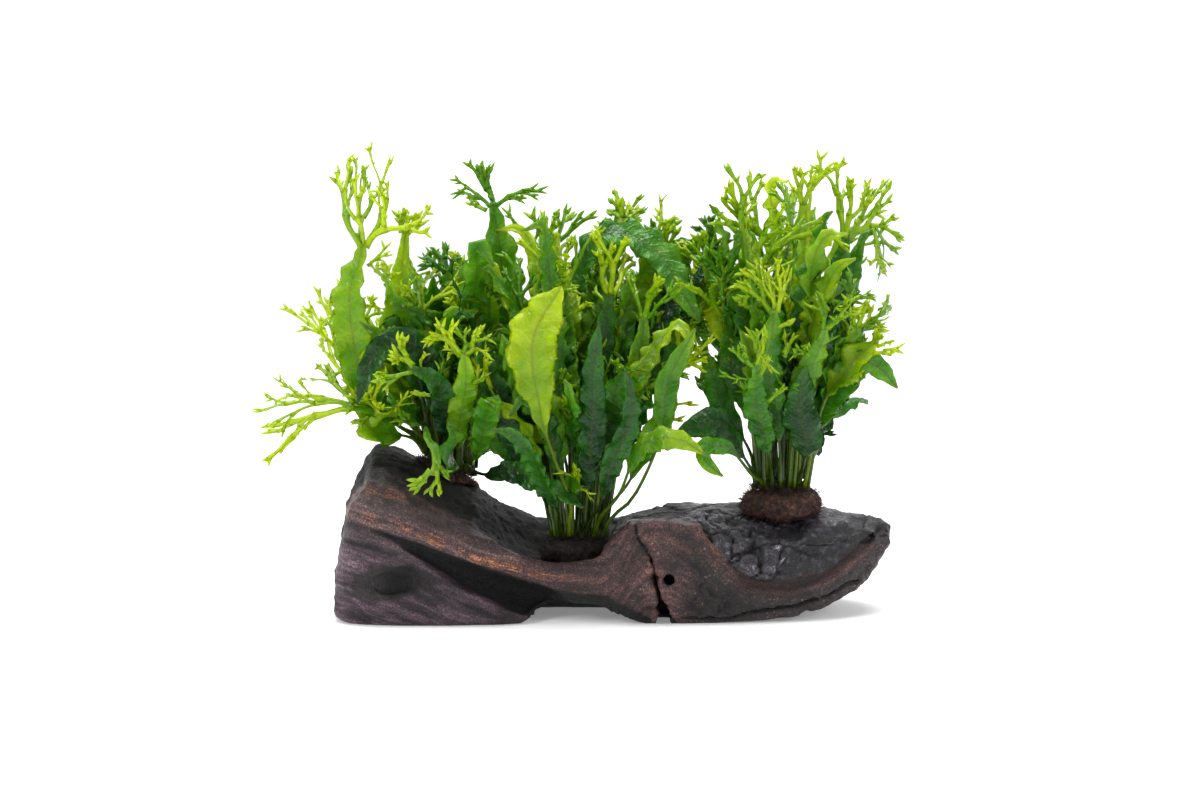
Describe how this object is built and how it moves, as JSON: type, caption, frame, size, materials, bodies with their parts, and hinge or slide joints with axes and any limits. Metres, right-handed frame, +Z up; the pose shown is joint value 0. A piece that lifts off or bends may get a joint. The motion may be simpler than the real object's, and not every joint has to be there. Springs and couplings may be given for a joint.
{
  "type": "java fern on driftwood",
  "caption": "Crested java fern growing in separate clumps, each from a coir plug, along a low block of dark driftwood that stands on flat feet.",
  "frame": {"origin": "middle of the whole object's footprint, on the surface that the wood stands on", "axes": "+X along the wood towards its low tapered end, +Y to the back, +Z up"},
  "size_m": [0.2794, 0.1256, 0.2001],
  "materials": {
    "wood": "matte, with a charred crust and bare red-brown grain",
    "coir": "rough fibre",
    "rhizome": "scaly",
    "frond": "glossy dark green leaf",
    "crested_frond": "thin yellow-green leaf"
  },
  "bodies": {
    "root": {"driftwood": "wood", "frond_left_01": "crested_frond", "frond_left_02": "frond", "frond_left_03": "crested_frond", "frond_left_04": "crested_frond", "frond_left_05": "frond", "frond_left_06": "frond", "frond_left_07": "frond", "frond_left_08": "frond", "frond_left_09": "frond", "frond_left_10": "frond", "frond_left_11": "frond", "frond_left_12": "frond", "frond_left_13": "frond", "frond_left_14": "frond", "frond_left_15": "frond", "frond_left_16": "frond", "frond_left_17": "frond", "frond_middle_01": "frond", "frond_middle_02": "crested_frond", "frond_middle_03": "frond", "frond_middle_04": "frond", "frond_middle_05": "frond", "frond_middle_06": "frond", "frond_middle_07": "frond", "frond_middle_08": "frond", "frond_middle_09": "crested_frond", "frond_middle_10": "frond", "frond_middle_11": "frond", "frond_middle_12": "frond", "frond_middle_13": "frond", "frond_middle_14": "frond", "frond_middle_15": "frond", "frond_middle_16": "frond", "frond_middle_17": "frond", "frond_middle_18": "frond", "frond_middle_19": "crested_frond", "frond_right_01": "frond", "frond_right_02": "crested_frond", "frond_right_03": "crested_frond", "frond_right_04": "crested_frond", "frond_right_05": "frond", "frond_right_06": "frond", "frond_right_07": "frond", "frond_right_08": "frond", "frond_right_09": "frond", "frond_right_10": "frond", "frond_right_11": "frond", "frond_right_12": "frond", "frond_right_13": "frond", "frond_right_14": "frond", "frond_right_15": "crested_frond", "frond_right_16": "frond", "frond_right_17": "frond", "plug_left": "coir", "plug_middle": "coir", "plug_right": "coir", "rhizome_left": "rhizome", "rhizome_middle": "rhizome", "rhizome_right": "rhizome"}
  },
  "joints": []
}
